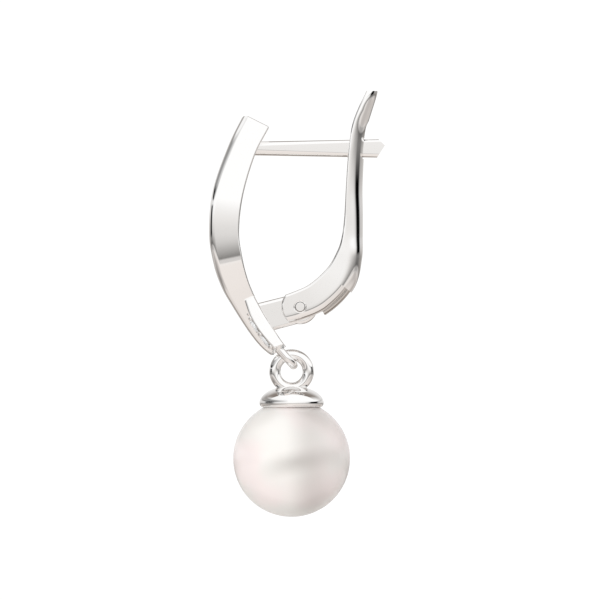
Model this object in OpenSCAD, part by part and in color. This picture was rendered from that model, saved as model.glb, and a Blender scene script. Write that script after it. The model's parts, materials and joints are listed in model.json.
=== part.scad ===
// Lever-back earring with a pearl drop, in millimetres.
// +Z is up, -X is the decorative front, +X is towards the back of the ear lobe.
// The origin is the middle of the post's free span, on its axis, where the lobe sits.

/* [Front ribbon] */
// Width across the widest part of the ribbon
ribbon_w = 3.2; // [2.8:0.1:3.4]
// Largest radius of the ribbon's two rounded front edges
ribbon_round = 0.42; // [0.3:0.02:0.46]
// Bevel on the ribbon's two back edges
ribbon_edge = 0.06; // [0.03:0.01:0.1]

/* [Stones] */
// Diameter of each round stone
stone_d = 0.9; // [0.7:0.05:0.95]
// Distance between the stones' centres
stone_pitch = 1.135; // [1.1:0.005:1.2]
// Turn of the stone-set face towards the near side, in degrees
stone_tilt = 6; // [4:1:8]
// Clearance between a stone and its seat
stone_gap = 0.02; // [0.01:0.01:0.04]
// Radius of each setting bead
bead_r = 0.12; // [0.1:0.01:0.14]

/* [Post] */
// Width of the post across the ear hole
post_w = 0.84; // [0.76:0.02:0.9]
// Height of the post where it joins the front
post_root_h = 0.89; // [0.85:0.01:0.95]
// Height of the post at its free end
post_end_h = 1.2; // [1:0.02:1.2]
// Reach of the post's point beyond the origin
post_reach = 5.2; // [5:0.1:5.5]

/* [Lever] */
// Width of the lever at its hinge
lever_w = 2.6; // [2.5:0.1:2.8]
// Clearance between the post and its slot, each side
slot_gap = 0.08; // [0.06:0.01:0.12]
// Radius of the round end of the lever's two cheeks
cheek_r = 1.21; // [1.15:0.01:1.25]

/* [Hinge] */
// Diameter of the hinge pin
pin_d = 0.56; // [0.5:0.01:0.6]
// Running clearance around the pin
pin_gap = 0.02; // [0.01:0.01:0.05]
// Thickness of the fixed tongue between the cheeks
tongue_w = 1.24; // [1.1:0.02:1.3]
// Clearance between the tongue and each cheek
cheek_gap = 0.06; // [0.04:0.01:0.08]

/* [Loop] */
// Wire diameter of the hanging loop
loop_wire = 0.54; // [0.48:0.01:0.56]
// Radius of the loop, to the middle of its wire
loop_r = 0.7; // [0.7:0.01:0.76]

/* [Drop] */
// Diameter of the pearl
pearl_d = 7.5; // [7:0.1:8]
// Radius of the eye on the cap, to the middle of its wire
eye_r = 1.07; // [1.04:0.01:1.1]
// Wire diameter of the eye
eye_wire = 0.72; // [0.66:0.01:0.74]
// Widest diameter of the cap
cap_d = 4.12; // [4:0.02:4.3]
// Diameter of the peg that is glued into the pearl
peg_d = 0.9; // [0.7:0.05:1]

/* [Hidden] */
$fn = 48;
hair = 0.01;

silver = [0.86, 0.86, 0.85];
steel = [0.6, 0.58, 0.56];
crystal = [0.85, 0.93, 1];
nacre = [0.96, 0.93, 0.91];

// The ribbon's middle line and section, from its top end down.
// Columns: x, z, thickness front to back, near edge and far edge as shares of half of ribbon_w,
// radius of the two front edges as a share of ribbon_round.
RIBBON = [
    [-3.05, 1.80, 1.85, -0.68, 0.70, 1],
    [-4.00, -0.10, 1.83, -0.83, 0.82, 1],
    [-4.89, -2.86, 1.98, -0.96, 0.93, 0.95],
    [-5.14, -5.37, 1.94, -1.00, 1.00, 0.9],
    [-4.88, -7.23, 1.91, -0.97, 1.06, 0.86],
    [-4.48, -8.57, 1.78, -0.84, 1.10, 0.81],
    [-3.98, -9.63, 1.61, -0.66, 1.12, 0.74],
    [-3.08, -11.26, 1.37, -0.36, 1.06, 0.64],
    [-2.34, -12.28, 1.27, -0.14, 0.94, 0.55],
    [-1.66, -13.00, 1.06, 0.14, 0.72, 0.48]
];
// Rise of the ribbon's face from each rounded edge to its middle, in degrees
ribbon_crown = 2;
ribbon_corner = [-3.87, 2.21];
ribbon_corner_r = 0.34;
ribbon_tip = [-2.06, -13.38];
ribbon_tip_r = 0.26;

// The near limb's middle line and section, from where it leaves the ribbon down.
// Columns: x, z, thickness front to back, near edge y, far edge y.
LIMB = [
    [-3.50, -9.64, 0.70, -1.20, 0.2],
    [-3.08, -10.58, 0.87, -1.45, 0.2],
    [-2.62, -11.38, 0.87, -1.64, 0.2],
    [-2.11, -12.09, 0.82, -1.76, 0.2],
    [-1.70, -12.60, 0.70, -1.70, 0.25],
    [-1.53, -12.93, 0.70, -0.90, 0.3]
];

// The lever's middle line and section, from above its top end down to the hinge.
// Columns: x, z, thickness, half width as a share of half of lever_w, depth of the rounded back,
// squareness of the rounded back, where 2 is a plain ellipse.
LEVER = [
    [4.47, 4.02, 0.67, 0.58, 0.55, 2.0],
    [4.28, 3.37, 0.76, 0.80, 0.64, 2.0],
    [3.91, 2.44, 0.91, 0.90, 0.79, 2.0],
    [3.58, 1.45, 0.98, 0.94, 0.86, 2.0],
    [3.41, 0.35, 1.00, 0.95, 0.88, 2.0],
    [3.30, -1.06, 1.05, 0.95, 0.93, 2.0],
    [3.22, -2.67, 1.09, 0.95, 0.97, 2.0],
    [3.19, -4.21, 1.20, 0.95, 1.04, 2.0],
    [3.11, -5.62, 1.35, 0.95, 1.05, 2.1],
    [2.91, -6.90, 1.70, 0.96, 1.00, 3.0],
    [2.27, -8.45, 2.20, 0.975, 1.07, 3.6],
    [0.95, -9.64, 2.19, 0.99, 0.96, 3.8],
    [-0.39, -10.23, 2.12, 0.995, 0.90, 3.8],
    [-1.74, -10.57, 1.93, 1.00, 0.80, 3.8]
];
// From this row on the lever's back is stepped in to carry the spring: rise of the stepped back
// above the middle line, how much that falls from the row it is given for up to the step, and its
// squareness
step_row = 10.09;
step_back = 0.835;
step_back_row = 11;
step_fall = 0.15;
step_square = 5.5;
// The lever's cut top end, and its rounded outer corner
lever_top = 3.69;
lever_corner = [4.78, 3.7];
lever_corner_r = 0.17;
lever_edge = 0.09;

// Hinge, with its axis along Y
pin_x = -0.25;
pin_z = -10.17;
fork_r = 1.38;
fork_half = tongue_w / 2 + cheek_gap;
countersink = 0.08;
cam_r = 1.13;
// The tongue's side outline from the front to its round cam end
TONGUE = [[-3.35, -10.05], [-2.96, -9.93], [-0.6, -9.34], [0.5, -9.34], [1.5, -10.2],
    [1.5, -11.3], [-0.25, -11.3], [-1.86, -11.66], [-2.6, -11.8]];

// Leaf spring, on an arc that follows the lever's back
spring_x = -1.59;
spring_z = -5.93;
spring_r = 5.62;
spring_t = 0.27;
spring_w = 1.2;
spring_from = -58.5;
spring_sweep = 22.1;
spring_crown = 0.05;

// Post, level on its axis
post_root_x = -3.6;
post_root_bevel = 0.3;
post_end_bevel = 0.12;
post_shoulder = post_reach - 0.42;
post_heel = post_reach - 0.52;
post_point_z = 0.19;
slot_bottom = -post_end_h / 2 - slot_gap;
slot_top = 1.77;
slot_half = post_w / 2 + slot_gap;

// Loop under the front, leaning down and back
loop_lean = 48;
loop_end = [-0.675, -13.927];
loop_leg = 1.1;
loop_flare = 1.16;
loop_centre = loop_end - loop_r * [cos(loop_lean), -sin(loop_lean)];

// Drop, hanging plumb below the loop
drop_x = -0.797;
eye_z = -14.32;
cap_widest_z = -16.35;
cap_rise = 1.09;
cap_lip = [0.24, 0.28];
pearl_z = -19.92;
pearl_r = pearl_d / 2;
seat_gap = 0.02;
peg_depth = 3.2;

// A point on a smooth curve through the rows of a table, at place u counted in rows
function spline(rows, u) =
    let (
        last = len(rows) - 1,
        i = max(0, min(floor(u), last - 1)),
        t = u - i,
        b = rows[i],
        c = rows[i + 1],
        a = i > 0 ? rows[i - 1] : 2 * b - c,
        d = i < last - 1 ? rows[i + 2] : 2 * c - b
    )
    (2 * b + (c - a) * t + (2 * a - 5 * b + 4 * c - d) * t * t + (3 * b - a - 3 * c + d) * t * t * t) / 2;

// Unit heading of a table's middle line in the XZ plane
function heading(rows, u) =
    let (d = spline(rows, u + 0.01) - spline(rows, u - 0.01), flat = [d[0], d[1]])
    flat / norm(flat);

// Outward direction across the middle line: 1 towards the front, -1 towards the back
function outward(rows, u, side) = let (h = heading(rows, u)) side * [h[1], -h[0]];

// A profile of [outward, y] points set across the middle line
function ring(rows, u, side, profile) =
    let (c = spline(rows, u), n = outward(rows, u, side))
    [for (p = profile) [c[0] + n[0] * p[0], p[1], c[1] + n[1] * p[0]]];

// A section with a bevelled back and a nearly flat front between two rounded edges of radius r
function eased_front(t, near, far, r, edge, steps = 4) =
    let (rise = ((far - near) / 2 - r) * tan(ribbon_crown), top = t / 2 - rise - r)
    concat(
        [[-t / 2, near + edge], [-t / 2 + edge, near]],
        [for (k = [0:steps]) let (a = 90 * k / steps) [top + r * sin(a), near + r * (1 - cos(a))]],
        [[t / 2, (near + far) / 2]],
        [for (k = [steps:-1:0]) let (a = 90 * k / steps) [top + r * sin(a), far - r * (1 - cos(a))]],
        [[-t / 2 + edge, far], [-t / 2, far - edge]]
    );

// A section with a bevelled inner face and a rounded back that starts at side_top and ends at back
function rounded_back(t, half, side_top, back, squareness, edge, steps = 16) =
    concat(
        [[-t / 2, -half + edge], [-t / 2 + edge, -half]],
        [for (k = [0:steps])
            let (a = 180 * k / steps, c = cos(a), flat = 2 / squareness)
            [side_top + (back - side_top) * pow(abs(sin(a)), flat), -half * sign(c) * pow(abs(c), flat)]],
        [[-t / 2 + edge, half], [-t / 2, half - edge]]
    );

// A closed solid through a list of rings of equal length
module skin(rings, side) {
    n = len(rings[0]);
    last = len(rings) - 1;
    turned = side > 0;
    function fan(k) = [for (i = [0:n - 1]) k * n + i];
    function back(list) = [for (i = [len(list) - 1:-1:0]) list[i]];
    polyhedron(
        points = [for (r = rings) each r],
        faces = concat(
            [turned ? fan(0) : back(fan(0)), turned ? back(fan(last)) : fan(last)],
            [for (k = [0:last - 1], i = [0:n - 1])
                let (a = k * n + i, b = k * n + (i + 1) % n, c = b + n, d = a + n)
                each turned ? [[b, a, d], [b, d, c]] : [[a, b, d], [b, c, d]]]
        )
    );
}

// Rounds a square corner that runs along Y; side is 1 where the corner points to the turned +X
module round_off(corner, turn, side, r) {
    translate([corner[0], 0, corner[1]]) rotate([0, turn, 0]) difference() {
        translate([side > 0 ? -r : -1, -3, -r]) cube([r + 1, 6, r + 1]);
        translate([-side * r, 0, -r]) across(r, 8);
    }
}

module across(r, h) {
    rotate([90, 0, 0]) cylinder(r = r, h = h, center = true);
}

module at_pin() {
    translate([pin_x, 0, pin_z]) children();
}

// What is cut away to leave an end of radius r about the pin; side is 1 for an end at +X
module round_end(r, side) {
    difference() {
        translate([side > 0 ? 0 : -4, -3, -3]) cube([4, 6, 6]);
        across(r, 8);
    }
}

// The ribbon of the front
module ribbon() {
    last = len(RIBBON) - 1;
    skin([for (u = [0:0.25:last])
        let (s = spline(RIBBON, u), h = ribbon_w / 2)
        ring(RIBBON, u, 1, eased_front(s[2], s[3] * h, s[4] * h, s[5] * ribbon_round, ribbon_edge))], 1);
}

// The near limb, whose outer face leans to the near side
module limb() {
    last = len(LIMB) - 1;
    skin([for (u = [0:0.25:last])
        let (s = spline(LIMB, u), t = s[2], near = s[3], far = s[4])
        ring(LIMB, u, 1, [
            [-t / 2, near + ribbon_edge],
            [-t / 2 + ribbon_edge, near],
            [t / 2 - ribbon_edge, near],
            [t / 2, near + ribbon_edge],
            [t / 2 + (far - near) * tan(stone_tilt), far],
            [-t / 2, far]
        ])], 1);
}

// Puts children on the stone-set face, with their +Z along the face's normal
module on_limb(u, across_y = 0) {
    s = spline(LIMB, u);
    n = outward(LIMB, u, 1);
    from_edge = stone_d / 2 + stone_margin + across_y;
    out = s[2] / 2 + from_edge * sin(stone_tilt);
    translate([s[0] + n[0] * out, s[3] + from_edge * cos(stone_tilt), s[1] + n[1] * out])
        rotate([0, atan2(n[0], n[1]), 0])
        rotate([stone_tilt, 0, 0])
        children();
}

// Place of the first stone counted in rows of LIMB, and the length of a row on the face
first_stone_u = 1.745;
limb_row = 0.919;
// Metal left between a stone and the face's near edge
stone_margin = 0.06;
// Setting beads: places along the row counted in stones, and distance from the row's middle line
bead_places = [0.5, 1.5, 2.5];
bead_side = 0.34;
end_bead = [2.95, 0.2];
function stone_u(k) = first_stone_u + (k - 1) * stone_pitch / limb_row;

// A round cut stone: table and crown above its girdle, pavilion below
module gem(d) {
    color(crystal)
    hull() {
        translate([0, 0, -0.02 * d]) cylinder(d = d, h = 0.04 * d, $fn = 16);
        rotate([0, 0, 22.5]) translate([0, 0, 0.14 * d]) cylinder(d = 0.6 * d, h = hair, $fn = 8);
        translate([0, 0, -0.42 * d]) cylinder(d = 0.04 * d, h = hair, $fn = 8);
    }
}

// The stone's seat: a cone under the girdle, open to the face
module gem_seat() {
    wide = stone_d / 2 + stone_gap;
    deep = 0.44 * stone_d;
    below = 2 * stone_gap;
    translate([0, 0, -below]) cylinder(r = wide, h = 0.6);
    translate([0, 0, -below - deep]) cylinder(r1 = 0.06, r2 = wide, h = deep);
}

module beads() {
    for (k = bead_places, side = [-bead_side, bead_side])
        on_limb(stone_u(k), side) sphere(r = bead_r);
    on_limb(stone_u(end_bead[0]), end_bead[1]) sphere(r = bead_r);
}

module post() {
    function octagon(w, h, b) = [
        [-w / 2, b - h / 2], [b - w / 2, -h / 2], [w / 2 - b, -h / 2], [w / 2, b - h / 2],
        [w / 2, h / 2 - b], [w / 2 - b, h / 2], [b - w / 2, h / 2], [-w / 2, h / 2 - b]
    ];
    module end_face(x, h, b) {
        translate([x, 0, 0]) rotate([90, 0, 90]) linear_extrude(height = hair)
            polygon(octagon(post_w, h, b));
    }
    intersection() {
        hull() {
            end_face(post_root_x, post_root_h, post_root_bevel);
            end_face(post_reach, post_end_h, post_end_bevel);
        }
        rotate([90, 0, 0]) linear_extrude(height = 4, center = true) polygon([
            [post_root_x, -2], [post_heel, -2], [post_heel, -post_end_h / 2], [post_reach, post_point_z],
            [post_shoulder, post_end_h / 2], [post_shoulder, 2], [post_root_x, 2]
        ]);
    }
}

module tongue() {
    difference() {
        rotate([90, 0, 0]) linear_extrude(height = tongue_w, center = true) polygon(TONGUE);
        at_pin() round_end(cam_r, 1);
    }
}

module loop() {
    translate([loop_centre[0], 0, loop_centre[1]])
        rotate([0, loop_lean, 0]) {
            rotate([0, 0, -90]) rotate_extrude(angle = 180) translate([loop_r, 0]) circle(d = loop_wire);
            for (side = [-1, 1])
                translate([0, side * loop_r, 0]) rotate([0, -90, 0])
                    cylinder(d1 = loop_wire, d2 = loop_wire * loop_flare, h = loop_leg);
        }
}

module shank() {
    color(silver)
    difference() {
        union() {
            ribbon();
            limb();
            post();
            tongue();
            loop();
            beads();
        }
        round_off(ribbon_corner, 28, -1, ribbon_corner_r);
        round_off(ribbon_tip, 136, 1, ribbon_tip_r);
        at_pin() across(pin_d / 2 + pin_gap, 2 * tongue_w);
        for (k = [1, 2]) on_limb(stone_u(k)) gem_seat();
    }
}

module stone(k) {
    on_limb(stone_u(k)) gem(stone_d);
}

module lever_blank() {
    last = len(LEVER) - 1;
    places = [
        for (u = [0:0.25:step_row]) u,
        step_row - hair,
        step_row + hair,
        for (u = [ceil(4 * step_row) / 4:0.25:last]) u
    ];
    skin([for (u = places)
        let (
            s = spline(LEVER, u),
            whole = u < step_row,
            back = whole ? s[2] / 2 : step_back - step_fall * max(0, step_back_row - u),
            squareness = whole ? s[5] : step_square
        )
        ring(LEVER, u, -1,
            rounded_back(s[2], s[3] * lever_w / 2, s[2] / 2 - s[4], back, squareness, lever_edge))], -1);
}

module post_slot() {
    translate([0, -slot_half, slot_bottom]) cube([8, 2 * slot_half, slot_top - slot_half - slot_bottom]);
    translate([0, 0, slot_top - slot_half]) rotate([0, 90, 0]) cylinder(r = slot_half, h = 8);
}

// Sector of a ring about the spring's own centre, from a profile of [radius, y] points
module about_spring(from, sweep) {
    translate([spring_x, 0, spring_z]) rotate([90, 0, 0]) rotate([0, 0, from])
        rotate_extrude(angle = sweep) children();
}

module lever() {
    hole_r = pin_d / 2 + pin_gap;
    color(silver)
    difference() {
        lever_blank();
        translate([2, -3, lever_top]) cube([6, 6, 3]);
        round_off(lever_corner, 8, 1, lever_corner_r);
        at_pin() round_end(cheek_r, -1);
        at_pin() across(fork_r, 2 * fork_half);
        at_pin() across(hole_r, 4);
        for (side = [-1, 1])
            at_pin() rotate([side * 90, 0, 0]) translate([0, 0, lever_w / 2 - countersink])
                cylinder(r1 = hole_r, r2 = hole_r + countersink, h = countersink + hair);
        post_slot();
    }
}

module hinge_pin() {
    color(silver)
    at_pin() across(pin_d / 2, lever_w - 2 * pin_gap);
}

// The leaf, a little higher in its middle than along its two sides
module spring() {
    half = spring_w / 2;
    side_r = spring_r - spring_crown;
    color(steel)
    about_spring(spring_from, spring_sweep) polygon([
        [spring_r - spring_t, -half], [side_r, -half], [spring_r, -half / 2],
        [spring_r, half / 2], [side_r, half], [spring_r - spring_t, half]]);
}

module cap_blank() {
    steps = 12;
    rotate_extrude() polygon(concat(
        [[0, cap_widest_z + cap_rise]],
        [for (k = [1:steps]) let (a = 90 * k / steps)
            [cap_d / 2 * sin(a), cap_widest_z + cap_rise * cos(a)]],
        [for (k = [1:steps / 2]) let (a = 90 * k / (steps / 2))
            [cap_d / 2 - cap_lip[0] * (1 - cos(a)), cap_widest_z - cap_lip[1] * sin(a)]],
        [[0, cap_widest_z - cap_lip[1]]]
    ));
}

module cap() {
    color(silver)
    translate([drop_x, 0, 0]) {
        difference() {
            union() {
                cap_blank();
                translate([0, 0, eye_z]) rotate([90, 0, 0]) rotate_extrude()
                    translate([eye_r, 0]) circle(d = eye_wire);
            }
            translate([0, 0, pearl_z]) sphere(r = pearl_r + seat_gap);
        }
        translate([0, 0, pearl_z + pearl_r - peg_depth]) cylinder(d = peg_d, h = peg_depth + 0.5);
    }
}

module pearl() {
    color(nacre)
    translate([drop_x, 0, pearl_z])
    difference() {
        sphere(r = pearl_r);
        translate([0, 0, pearl_r - peg_depth - 0.1]) cylinder(d = peg_d + 2 * seat_gap, h = peg_depth + 1);
    }
}

shank();
stone(1);  // stone_1
stone(2);  // stone_2
lever();
hinge_pin();
spring();
cap();
pearl();
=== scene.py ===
"""Lever-back earring with a pearl drop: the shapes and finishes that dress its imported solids."""

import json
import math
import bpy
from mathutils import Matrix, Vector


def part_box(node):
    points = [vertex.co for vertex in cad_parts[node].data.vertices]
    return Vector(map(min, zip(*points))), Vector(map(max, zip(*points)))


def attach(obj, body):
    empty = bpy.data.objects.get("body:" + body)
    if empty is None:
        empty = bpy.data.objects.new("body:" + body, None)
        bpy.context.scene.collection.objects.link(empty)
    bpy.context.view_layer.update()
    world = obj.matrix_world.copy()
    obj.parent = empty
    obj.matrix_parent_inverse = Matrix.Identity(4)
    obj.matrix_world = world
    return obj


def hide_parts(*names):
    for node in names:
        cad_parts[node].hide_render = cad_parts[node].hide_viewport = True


bl_info = {
    "name": "Lever-back pearl earring",
    "version": (1, 0, 0),
    "blender": (4, 5, 0),
    "location": "View3D > Sidebar > Earring",
    "description": "Builds the polished front, lever, cap, stones and pearl of a lever-back earring",
    "category": "Object",
}

import bmesh
import bpy
from mathutils import Matrix, Vector

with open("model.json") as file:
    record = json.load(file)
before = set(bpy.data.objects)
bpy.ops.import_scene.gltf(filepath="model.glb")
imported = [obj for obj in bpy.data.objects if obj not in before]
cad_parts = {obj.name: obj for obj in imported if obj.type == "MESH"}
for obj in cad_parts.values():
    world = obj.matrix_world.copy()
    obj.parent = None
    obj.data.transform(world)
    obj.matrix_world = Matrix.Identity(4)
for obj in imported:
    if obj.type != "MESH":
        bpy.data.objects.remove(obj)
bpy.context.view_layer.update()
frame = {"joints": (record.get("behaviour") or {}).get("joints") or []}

# All shapes are worked out in millimetres and turned to metres as each piece is finished
MM = 0.001
JOINTS = {joint["name"]: joint for joint in frame["joints"]}
PIN = Vector(JOINTS["lever_hinge"]["pos_m"]) / MM
CROSSBAR = Vector(JOINTS["drop_swing"]["pos_m"]) / MM
PEARL_BOX = [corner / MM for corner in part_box("pearl")]
CAP_BOX = [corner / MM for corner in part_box("cap")]
DROP_X = (PEARL_BOX[0].x + PEARL_BOX[1].x) / 2

# The ribbon's middle line and section, from its top end down: x, z, thickness front to back,
# near edge and far edge as shares of half its width, radius of its two front edges
RIBBON = [
    (-3.05, 1.80, 1.85, -0.68, 0.70, 0.42),
    (-4.00, -0.10, 1.83, -0.86, 0.82, 0.39),
    (-4.89, -2.86, 1.98, -0.985, 0.93, 0.31),
    (-5.14, -5.37, 1.94, -1.00, 1.00, 0.38),
    (-4.88, -7.23, 1.91, -0.96, 1.06, 0.36),
    (-4.48, -8.57, 1.78, -0.83, 1.10, 0.34),
    (-3.98, -9.63, 1.61, -0.66, 1.12, 0.31),
    (-3.08, -11.26, 1.37, -0.36, 1.06, 0.27),
    (-2.34, -12.28, 1.27, -0.14, 0.94, 0.23),
    (-1.66, -13.00, 1.06, 0.14, 0.72, 0.20),
]
# Radius of its two back edges and of the edge of its top end
RIBBON_EDGE = 0.1
RIBBON_END_EDGE = 0.09
# Rise of its face from each rounded edge to its middle
RIBBON_CROWN = math.radians(2)
# Its rounded top front corner and tip: place, turn in degrees, side that the corner points to, radius
RIBBON_CORNERS = (((-3.87, 2.21), 28, -1, 0.34), ((-2.06, -13.38), 136, 1, 0.26))

# The stone-set limb: x, z, thickness front to back, near edge, far edge
LIMB = [
    (-3.50, -9.64, 0.70, -1.20, 0.2),
    (-3.08, -10.58, 0.87, -1.45, 0.2),
    (-2.62, -11.38, 0.87, -1.64, 0.2),
    (-2.11, -12.09, 0.82, -1.76, 0.2),
    (-1.64, -12.69, 0.73, -1.80, 0.2),
]
# Radius of its outer edge, how much more the edge towards the wearer has, and that of its tip
LIMB_EDGE = 0.14
LIMB_INNER_MORE = 0.08
LIMB_TIP_EDGE = 0.06
# The plane that ends it: a point on it, its turn about Y and its lean inwards, and the tip's far edge
LIMB_END = Vector((-1.25, -1.80, -12.57))
LIMB_END_TURN = math.radians(-19.7)
LIMB_END_LEAN = math.radians(15)
LIMB_END_FAR = -0.95
# The limb's own sections stop this far before that plane
LIMB_END_CLEAR = 0.08

# The stones' face: its turn to the near side, the metal left beside a stone and the gap around one
STONE_TILT = math.radians(6)
STONE_MARGIN = 0.06
STONE_GAP = 0.02
# Place of the first stone counted in rows of LIMB, distance between stones, and length of such a row
FIRST_STONE = 1.745
STONE_PITCH = 1.135
LIMB_ROW = 0.919
# A stone's seat: radius of its bottom, its depth as a share of the stone, and its height above the face
SEAT_BOTTOM_R = 0.06
SEAT_DEPTH = 0.44
SEAT_TOP = 0.5
# Rings of a stone's corners, from its table down: number, radius and height as shares of the stone,
# and turn as a share of a facet
STONE_RINGS = (
    (8, 0.28, 0.15, 0.5),
    (8, 0.415, 0.085, 0.0),
    (16, 0.5, 0.02, 0.0),
    (16, 0.5, -0.02, 0.0),
    (8, 0.29, -0.235, 0.5),
    (3, 0.01, -0.42, 0.0),
)
# Setting beads: radius, then each one's place counted in stones and distance from the row's middle line
BEAD_R = 0.12
BEADS = [(k, side) for k in (0.5, 1.5, 2.5) for side in (-0.34, 0.34)] + [(2.95, 0.2)]

# The post's root and its free end: x, height, radius of the upper edges
POST_ROOT = (-3.6, 0.89, 0.3)
POST_END = (5.2, 1.2, 0.16)
# How many times rounder the lower edges are, and the least flat that stays between them
POST_LOWER = 1.5
POST_FLAT = 0.04
# Height of its wedge point, and how far before it the upper and the lower slope start
POST_POINT_Z = 0.19
POST_SLOPES = ((1, 0.42), (-1, 0.52))
# Rounding of the wedge's edges
POST_EASE = 0.04

# The hinge tongue's upper line from the front to its round cam, and its foot; half its width, the
# radius of its edges, and the cam's radius and the angle in degrees at which it ends
TONGUE = [(-3.35, -10.05), (-2.96, -9.93), (-0.6, -9.34), (0.3, -9.34)]
TONGUE_FOOT = [(-1.86, -11.66), (-2.6, -11.8)]
TONGUE_HALF = 0.62
TONGUE_EDGE = 0.22
CAM_R = 1.13
CAM_END = -100

# The hanging loop: its lean from level, the length of its legs and how much they widen at the top
LOOP_LEAN = math.radians(48)
LOOP_LEG = 1.15
LOOP_FLARE = 0.16

# How far cutters reach past what they cut, along and across the earring
CUT_REACH = 4
CUT_HALF = 3

# The lever: x, z, thickness, half width as a share of half its width, then the depth of its rounded
# back and how square that is (2 is a plain ellipse)
LEVER = [
    (4.47, 4.02, 0.67, 0.58, 0.55, 2.0),
    (4.28, 3.37, 0.76, 0.80, 0.64, 2.0),
    (3.91, 2.44, 0.91, 0.90, 0.79, 2.0),
    (3.58, 1.45, 0.98, 0.94, 0.86, 2.0),
    (3.41, 0.35, 1.00, 0.95, 0.88, 2.0),
    (3.30, -1.06, 1.05, 0.95, 0.93, 2.0),
    (3.22, -2.67, 1.09, 0.95, 0.97, 2.1),
    (3.19, -4.21, 1.20, 0.95, 1.04, 2.25),
    (3.11, -5.62, 1.35, 0.95, 1.05, 2.4),
    (2.91, -6.90, 1.70, 0.96, 1.00, 2.6),
    (2.27, -8.45, 2.20, 0.975, 1.07, 2.9),
    (0.95, -9.64, 2.19, 0.99, 0.96, 3.8),
    (-0.39, -10.23, 2.12, 0.995, 0.90, 3.8),
    (-1.74, -10.57, 1.93, 1.00, 0.80, 3.8),
]
# Radius of its inner edges, and the least flat that stays between one and the rounded back
LEVER_EDGE = 0.16
LEVER_FLAT = 0.01
# From this row on its back is stepped in to carry the leaf spring: height of the stepped back above
# the middle line, how much it falls from the row it is given for up to the step, and its squareness
STEP_ROW = 10.09
STEP_BACK = 0.835
STEP_BACK_ROW = 11
STEP_FALL = 0.15
STEP_SQUARE = 4.0
# Half the length of the step itself, in rows
STEP_SHARP = 0.004
# The block that cuts its top level, and the top's rounded outer corner: place, turn in degrees, side
# and radius
LEVER_TOP = ((2, -CUT_HALF, 3.69), (8, CUT_HALF, 7))
LEVER_CORNER = ((4.78, 3.7), 8, 1, 0.17)
# The lever's two cheeks: radius of their round end and of its edges, and the room for the tongue
CHEEK_R = 1.21
CHEEK_EDGE = 0.15
FORK_R = 1.38
FORK_HALF = 0.68
# The pin's hole and its countersink: radius, wider radius and depth
HOLE_R = 0.33
SINK_R = 0.42
SINK_DEPTH = 0.08
# How far the cutters of the cheeks' edges and of the countersink stay out of the cheeks' own plane
CHEEK_CLEAR = 0.003
SINK_CLEAR = 0.001
# The slot that the post passes through, up to its round top
SLOT_TOP, SLOT_BOTTOM, SLOT_HALF = 1.77, -0.68, 0.50

# The leaf spring lies on an arc about this centre: radius of its back, and its angles in degrees
SPRING_CENTRE = Vector((-1.59, 0, -5.93))
SPRING_R = 5.62
SPRING_FROM, SPRING_SWEEP = -58.5, 22.9
# Half of its rounded section: depth below the back and half width there
SPRING_SECTION = (
    (0, 0.2), (0.03, 0.38), (0.08, 0.49), (0.14, 0.565), (0.2, 0.6), (0.31, 0.6), (0.34, 0.57),
)

# The rivet: how far its head lies below the cheek, the head's radius and edge, the bottom of the
# groove around the head, and where the pin below fills the hole: radius and depth
RIVET_SUNK = 0.02
RIVET_R = 0.29
RIVET_EDGE = 0.03
GROOVE_DEPTH = 0.12
RIVET_SHANK_R, RIVET_SHANK_DEPTH = 0.322, 0.42

# The pearl, and the hole drilled in it: radius, depth and upper end of its wall below the pearl's top
PEARL_R, PEARL_Z = 3.75, -19.92
BORE_R, BORE_DEPTH, BORE_TOP = 0.46, 3.3, 0.08
# The cap: where it is widest, its rise above that, the width and depth of its lip, the gap between
# its hollow and the pearl, and how far in from its widest the hollow starts
CAP_Z = -16.35
CAP_RISE = 1.09
CAP_LIP_WIDTH, CAP_LIP_DEPTH = 0.24, 0.28
CAP_GAP = 0.02
CAP_RIM = 0.3
EYE_Z = -14.32

# The floor's radius in millimetres
FLOOR_R = 420
# The photograph's frame at the earring, in metres: its width and its middle
FRAME_WIDTH = 0.03856
FRAME_X, FRAME_Z = -0.000257, -0.009737
SENSOR_WIDTH = 36
# Soft lamps, in metres: name, diameter, power in watts, place; all are aimed at the same point
LAMPS = (
    ("side_softbox", 0.5, 1.0, (-0.56, -0.38, 0.15)),
    ("low_fill", 0.3, 1.3, (-0.52, -0.36, -0.055)),
    ("right_fill", 0.3, 0.3, (0.45, -0.4, -0.055)),
)
LAMP_AIM = Vector((0, 0, -0.015))

# The tent's colours by the sine of the elevation: floor, its pale and dark edges, grey wall, white above
TENT_WALL = (
    (-1.0, "#E6DFDA"), (-0.22, "#ECE6E2"), (-0.186, "#EFEBE8"), (-0.176, "#D2CFCD"), (-0.136, "#D0CDCB"),
    (-0.130, "#7C7A78"), (-0.06, "#B4B2B0"), (0.0, "#E6E4E2"), (0.06, "#FFFFFF"), (1.0, "#FFFFFF"),
)
# How much of the view a card fills, where 1 is all of it, by how far to the side it is seen
NARROW_CARD = (
    (0.0, 0.0), (0.64, 0.04), (0.77, 0.1), (0.866, 0.24), (0.914, 0.45), (0.951, 0.8), (0.966, 0.95),
    (0.985, 1.0),
)
WIDE_CARD = ((0.0, 0.0), (0.2, 0.0), (0.35, 0.22), (0.55, 0.45), (0.75, 0.64), (0.9, 0.85), (1.0, 1.0))
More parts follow.
